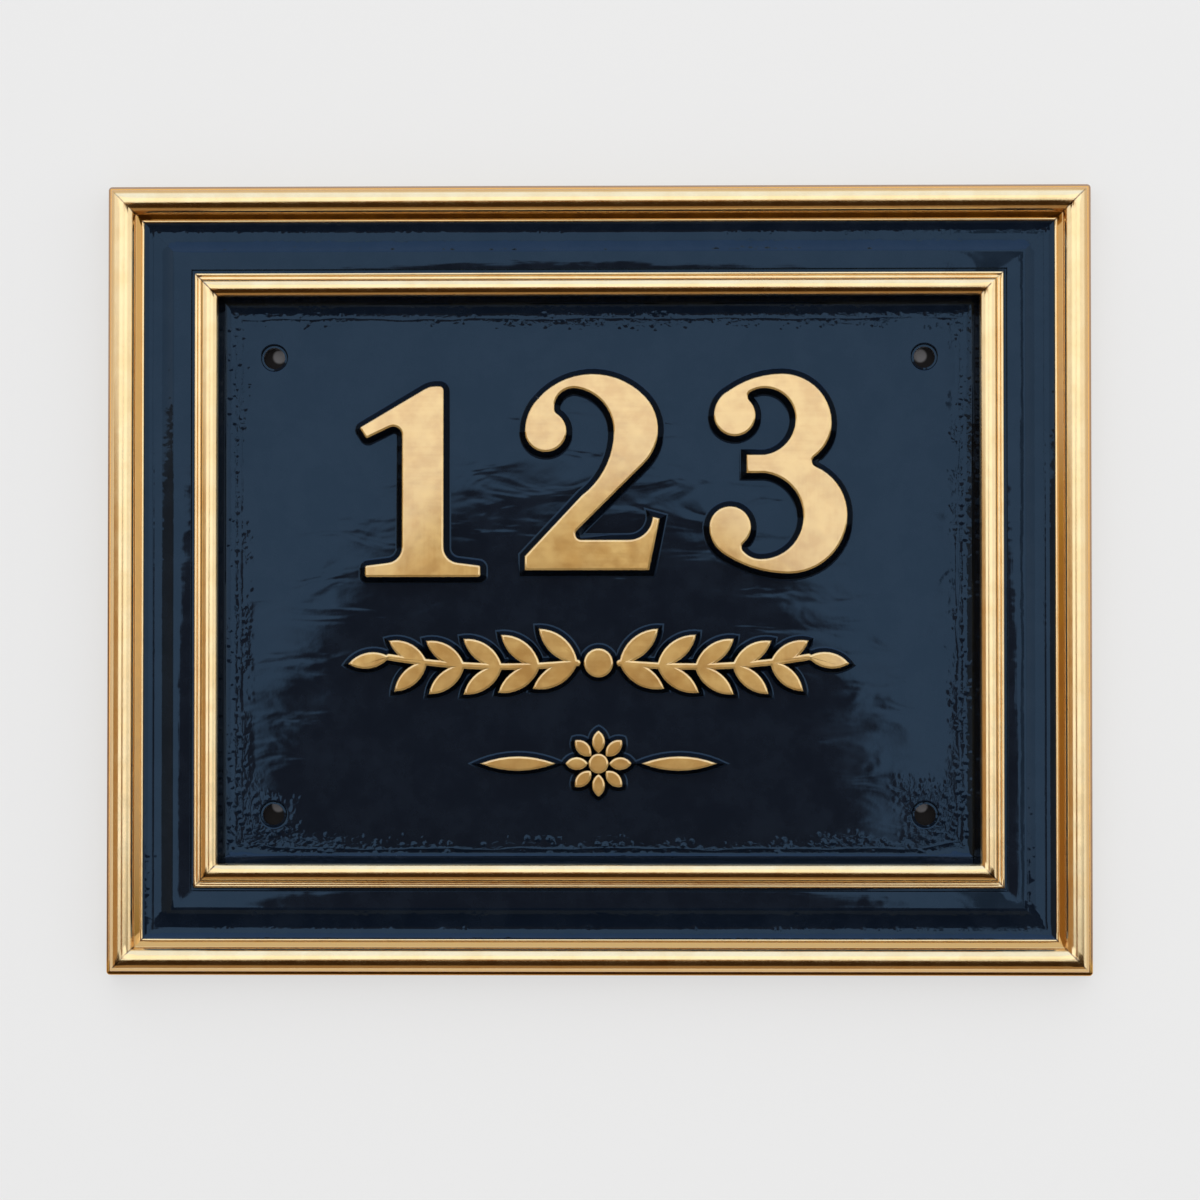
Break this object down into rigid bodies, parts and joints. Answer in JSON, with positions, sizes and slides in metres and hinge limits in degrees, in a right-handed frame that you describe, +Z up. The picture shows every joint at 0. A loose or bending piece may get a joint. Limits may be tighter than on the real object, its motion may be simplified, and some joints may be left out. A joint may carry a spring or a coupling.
{
  "type": "house number plaque",
  "caption": "Rectangular cast metal house number plaque with a moulded gilt border, a sunk dark blue enamel panel, raised gilt figures and ornament, and corner holes for wall screws.",
  "frame": {"origin": "middle of the back face, on the wall plane", "axes": "+X along the width, +Z up the height, +Y out of the back into the wall, so the front faces -Y"},
  "size_m": [0.254, 0.0126, 0.204],
  "materials": {
    "enamelled_casting": "gloss dark blue enamel with gilded mouldings, figures and ornament"
  },
  "bodies": {
    "root": {"plaque": "enamelled_casting"}
  },
  "joints": []
}
